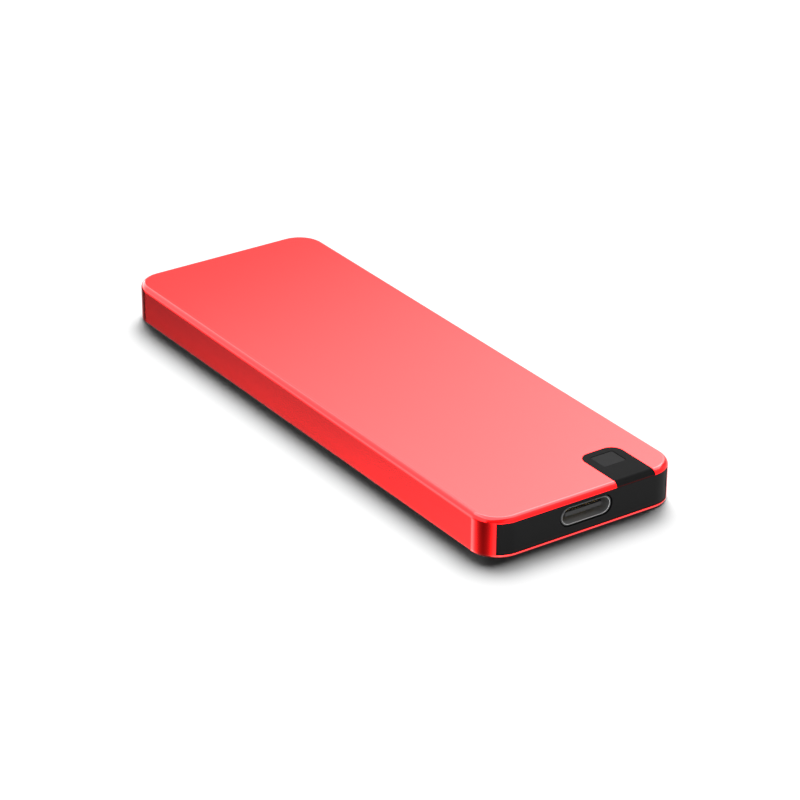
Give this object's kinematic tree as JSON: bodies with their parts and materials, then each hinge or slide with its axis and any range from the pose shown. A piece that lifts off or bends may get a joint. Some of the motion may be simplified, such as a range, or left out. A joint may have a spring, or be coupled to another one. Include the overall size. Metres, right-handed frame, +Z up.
{
  "type": "portable solid state drive",
  "caption": "Slim red aluminium bar drive with rounded corners, a black end cap with a USB-C port, and a black tab with a small window over its top edge.",
  "frame": {"origin": "centre of the case, on the plane it rests on", "axes": "+X across the width towards the side with the tab, -Y out of the port end, +Z up through the top face"},
  "size_m": [0.034, 0.099, 0.0063],
  "materials": {
    "case": "red anodised, fine satin",
    "label_film": "blank silver film",
    "foam": "closed-cell foam",
    "end_cap": "fine satin moulded",
    "lens": "smoked, polished",
    "light_pipe": "clear moulded",
    "port_metal": "nickel plated",
    "port_insulator": "moulded",
    "tray": "moulded",
    "circuit_board": "solder mask",
    "chip": "moulded resin",
    "ferrite": "pressed powder",
    "ceramic": "fired ceramic",
    "led": "clear resin",
    "screw_steel": "zinc plated",
    "standoff_brass": "turned",
    "thermal_gel": "soft filled silicone",
    "copper_foil": "rolled copper foil"
  },
  "bodies": {
    "case": {"sleeve": "case", "rating_label": "label_film", "rear_foam_pad": "foam"},
    "core": {"end_cap": "end_cap", "indicator_lens": "lens", "light_pipe": "light_pipe", "status_led": "led", "usb_c_shell": "port_metal", "usb_c_rear_shield": "port_metal", "usb_c_tongue": "port_insulator", "carrier_tray": "tray", "bridge_board": "circuit_board", "bridge_chip": "chip", "crystal": "port_metal", "regulator_chip": "chip", "power_inductor": "ferrite", "bulk_capacitor_1": "ceramic", "bulk_capacitor_2": "ceramic", "m2_socket": "port_insulator", "m2_board": "circuit_board", "power_chip": "chip", "module_inductor": "ferrite", "controller_chip": "chip", "dram_chip": "chip", "nand_chip_1": "chip", "nand_chip_2": "chip", "thermal_pad": "thermal_gel", "heat_spreader": "copper_foil", "module_label": "label_film", "cap_screw_left": "screw_steel", "cap_screw_right": "screw_steel", "bridge_screw_left": "screw_steel", "bridge_screw_right": "screw_steel", "m2_standoff": "standoff_brass", "m2_screw": "screw_steel"}
  },
  "joints": [
    {"name": "core_slide", "type": "slide", "parent": "case", "child": "core", "axis": [0, -1, 0], "range_m": [0, 0.095]}
  ]
}
